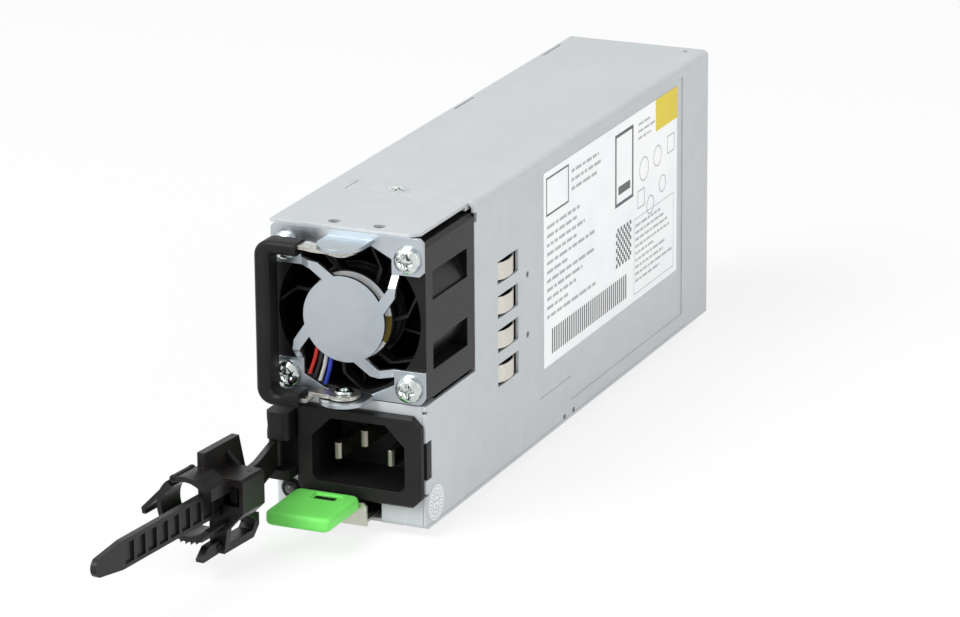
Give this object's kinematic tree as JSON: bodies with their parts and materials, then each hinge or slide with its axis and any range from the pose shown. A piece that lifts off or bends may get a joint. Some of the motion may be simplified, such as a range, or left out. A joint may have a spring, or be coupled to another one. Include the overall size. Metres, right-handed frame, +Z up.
{
  "type": "hot swap server power supply",
  "caption": "Slim hot swap server power supply: folded steel case, guarded front fan, fold-out handle, mains inlet, release latch and a ladder strap with a cord clip.",
  "frame": {"origin": "middle of the front bottom edge of the steel case, where the case enters its bay", "axes": "+X to the right seen from the front, +Y along the case into the bay, +Z up"},
  "size_m": [0.0532, 0.2851, 0.0757],
  "materials": {
    "case_steel": "galvanised sheet, light grey",
    "guard_zinc": "zinc plated sheet",
    "screw_zinc": "bright zinc",
    "spring_steel": "bare spring steel",
    "finger_copper": "tin plated copper alloy",
    "contact_gold": "gold plated",
    "label_white": "white film",
    "label_yellow": "yellow film",
    "fan_black": "black moulding",
    "core_steel": "laminated core",
    "board_green": "solder resist",
    "lead_red": "insulation",
    "lead_blue": "insulation",
    "grip_black": "textured moulding",
    "inlet_black": "black moulding",
    "lens_clear": "diffusing lens",
    "tab_green": "green moulding",
    "strap_black": "nylon",
    "can_sleeve": "shrink sleeve",
    "winding_copper": "enamelled wire",
    "sink_aluminium": "bare extrusion"
  },
  "bodies": {
    "supply": {"chassis_tray": "case_steel", "case_cover": "case_steel", "top_front_plate": "case_steel", "cover_screw": "screw_zinc", "rear_panel": "case_steel", "emi_spring_fingers": "finger_copper", "side_label": "label_white", "caution_patch": "label_yellow", "seal_sticker": "label_white", "fan_guard": "guard_zinc", "guard_screws": "screw_zinc", "fan_frame": "fan_black", "fan_bearing": "contact_gold", "fan_stator": "core_steel", "fan_drive_board": "board_green", "lead_red": "lead_red", "lead_black": "fan_black", "lead_white": "label_white", "lead_blue": "lead_blue", "handle_rivets": "screw_zinc", "inlet_housing": "inlet_black", "inlet_blades": "finger_copper", "led_bezel": "inlet_black", "led_lens": "lens_clear", "latch_root_plate": "spring_steel", "latch_rivets": "screw_zinc", "strap_anchor": "grip_black", "strap_pin": "screw_zinc", "main_board": "board_green", "board_posts": "guard_zinc", "board_screws": "guard_zinc", "edge_contacts": "contact_gold", "bulk_capacitors": "can_sleeve", "transformer_core": "core_steel", "transformer_winding": "winding_copper", "choke_core": "core_steel", "heat_sink": "sink_aluminium", "rectifier_heat_sink": "sink_aluminium"},
    "rotor": {"fan_rotor": "fan_black", "rotor_magnet": "core_steel", "rotor_shaft": "screw_zinc"},
    "handle": {"handle_grip": "grip_black", "handle_tangs": "spring_steel"},
    "latch": {"latch_spring": "spring_steel", "latch_tab": "tab_green"},
    "strap": {"cable_strap": "strap_black"},
    "clip": {"clip_head": "strap_black", "jaw_pin": "screw_zinc", "pawl_pin": "screw_zinc"},
    "jaw": {"clamp_jaw": "strap_black"},
    "pawl": {"strap_pawl": "strap_black"},
    "trigger": {"jaw_trigger": "strap_black"}
  },
  "joints": [
    {"name": "fan_spin", "type": "hinge", "parent": "supply", "child": "rotor", "pos_m": [0, 0.015, 0.05125], "axis": [0, 1, 0], "continuous": true},
    {"name": "handle_swing", "type": "hinge", "parent": "supply", "child": "handle", "pos_m": [0.0008, -0.0044, 0.05], "axis": [0, 0, 1], "range_deg": [0, 110]},
    {"name": "latch_press", "type": "hinge", "parent": "supply", "child": "latch", "pos_m": [-0.003, 0.048, 0.0015], "axis": [-1, 0, 0], "range_deg": [0, 3.5], "stiffness_Nm_per_rad": 3},
    {"name": "strap_swing", "type": "hinge", "parent": "supply", "child": "strap", "pos_m": [-0.01815, -0.0032, 0.016], "axis": [0, 0, -1], "range_deg": [0, 80]},
    {"name": "clip_slide", "type": "slide", "parent": "strap", "child": "clip", "axis": [-0.0976, -0.9952, 0], "range_m": [0, 0.036]},
    {"name": "jaw_open", "type": "hinge", "parent": "clip", "child": "jaw", "pos_m": [-0.0231, -0.04177, 0.02256], "axis": [0.0976, 0.9952, 0], "range_deg": [0, 40]},
    {"name": "pawl_release", "type": "hinge", "parent": "clip", "child": "pawl", "pos_m": [-0.01067, -0.03223, 0.0172], "axis": [0, 0, 1], "range_deg": [0, 8], "stiffness_Nm_per_rad": 0.02},
    {"name": "trigger_pull", "type": "hinge", "parent": "clip", "child": "trigger", "pos_m": [-0.01659, -0.03929, 0.0045], "axis": [0.9952, -0.0976, 0], "range_deg": [0, 10], "stiffness_Nm_per_rad": 0.02}
  ]
}
